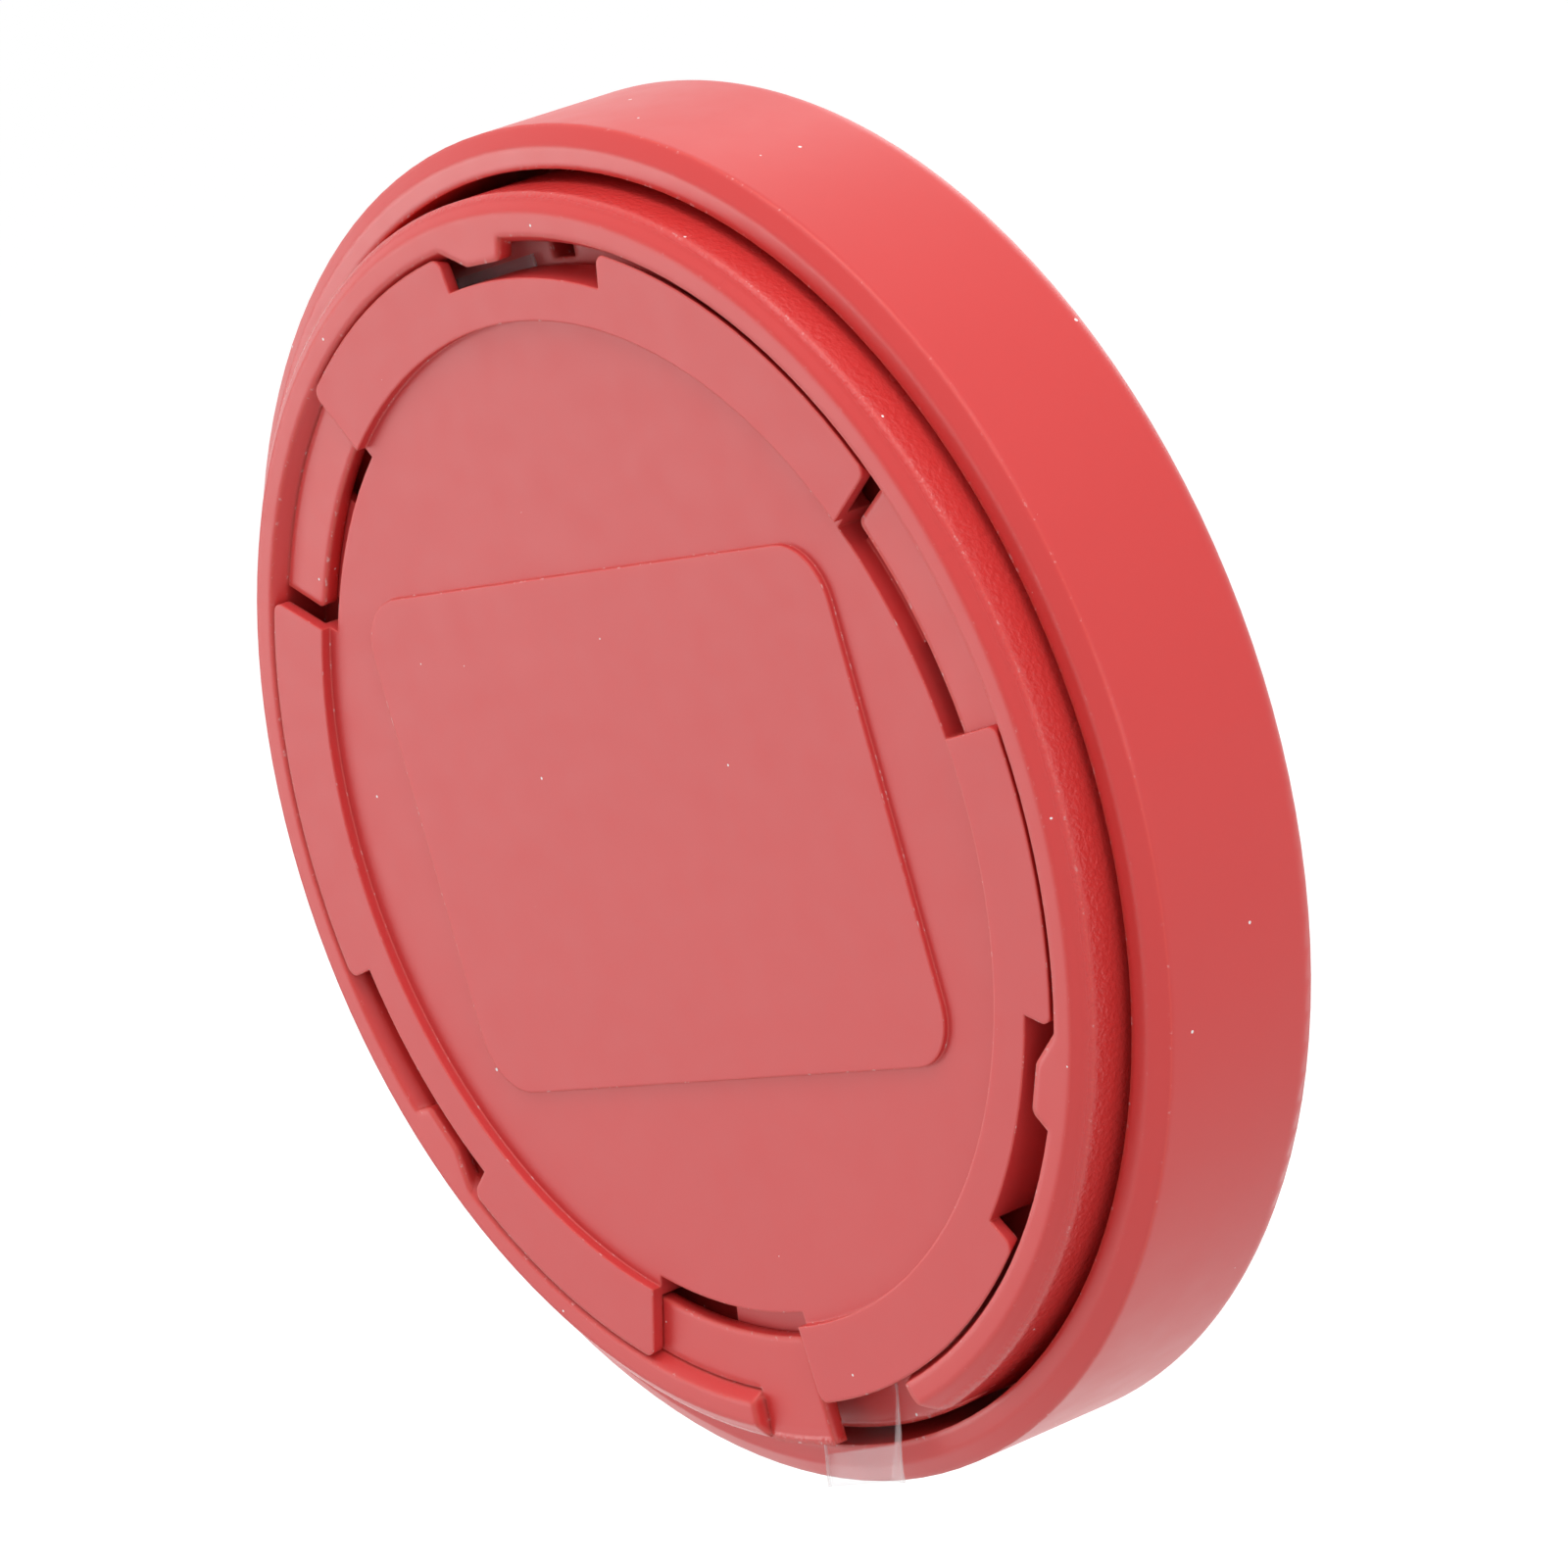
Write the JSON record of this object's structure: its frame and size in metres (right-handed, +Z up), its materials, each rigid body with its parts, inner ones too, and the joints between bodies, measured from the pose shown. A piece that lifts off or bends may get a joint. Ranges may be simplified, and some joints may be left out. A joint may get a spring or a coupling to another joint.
{
  "type": "smart button",
  "caption": "Round battery push button: a sprung front cap over a base ring, a twist-off bayonet door behind, a coin cell under it and a clear pull tab.",
  "frame": {"origin": "centre of the rear face, in the plane that the door's rim and the base's ring share", "axes": "+Y out of the rear face along the press axis, +Z up as the label panel reads, +X to the left seen from behind"},
  "size_m": [0.05, 0.009, 0.05],
  "materials": {
    "red_shell": "fine satin moulding",
    "clear_plastic": "clear moulded plastic",
    "clear_film": "clear polyester film",
    "cell_steel": "nickel-plated, fine circular grain",
    "black_polymer": "matt moulding",
    "contact_metal": "plated spring strip",
    "board_laminate": "black solder mask",
    "copper_trace": "flash-plated copper",
    "sheet_steel": "tinned sheet",
    "white_polymer": "smooth moulding",
    "screw_steel": "zinc-plated",
    "pad_rubber": "soft matt",
    "chip_ceramic": "fired ceramic with tinned ends",
    "chip_black": "glazed top with tinned ends"
  },
  "bodies": {
    "base": {"base_housing": "red_shell", "board_antenna": "copper_trace", "board_screw_1": "screw_steel", "board_screw_2": "screw_steel", "board_screw_3": "screw_steel", "chip_capacitor_1": "chip_ceramic", "chip_capacitor_2": "chip_ceramic", "chip_capacitor_3": "chip_ceramic", "chip_capacitor_4": "chip_ceramic", "chip_resistor_1": "chip_black", "chip_resistor_2": "chip_black", "chip_resistor_3": "chip_black", "circuit_board": "board_laminate", "coin_cell_can": "cell_steel", "coin_cell_gasket": "black_polymer", "coin_cell_lid": "cell_steel", "crystal": "sheet_steel", "negative_contact": "contact_metal", "overtravel_pad_1": "pad_rubber", "overtravel_pad_2": "pad_rubber", "overtravel_pad_3": "pad_rubber", "positive_contact": "contact_metal", "radio_module_board": "board_laminate", "radio_shield": "sheet_steel", "status_led": "white_polymer", "tact_dome": "sheet_steel", "tact_switch_frame": "sheet_steel", "tact_switch_housing": "black_polymer"},
    "cap": {"front_cap": "red_shell", "light_pipe": "clear_plastic"},
    "switch_plunger": {"tact_plunger": "white_polymer"},
    "door": {"battery_door": "red_shell"},
    "pull_tab": {"pull_tab_film": "clear_film"}
  },
  "joints": [
    {"name": "cap_press", "type": "slide", "parent": "base", "child": "cap", "axis": [0, 1, 0], "range_m": [0, 0.0003], "stiffness_N_per_m": 3000, "springref_m": -0.0002},
    {"name": "plunger_press", "type": "slide", "parent": "base", "child": "switch_plunger", "axis": [0, 1, 0], "range_m": [0, 0.0003]},
    {"name": "door_twist", "type": "hinge", "parent": "base", "child": "door", "pos_m": [0, 0, 0], "axis": [0, 1, 0], "range_deg": [0, 14.4]},
    {"name": "tab_pull", "type": "slide", "parent": "base", "child": "pull_tab", "axis": [-0.0624, 0.0108, -0.998], "range_m": [0, 0.046]}
  ],
  "couplings": [
    {"joint": "plunger_press", "follows": "cap_press", "ratio": 1}
  ]
}
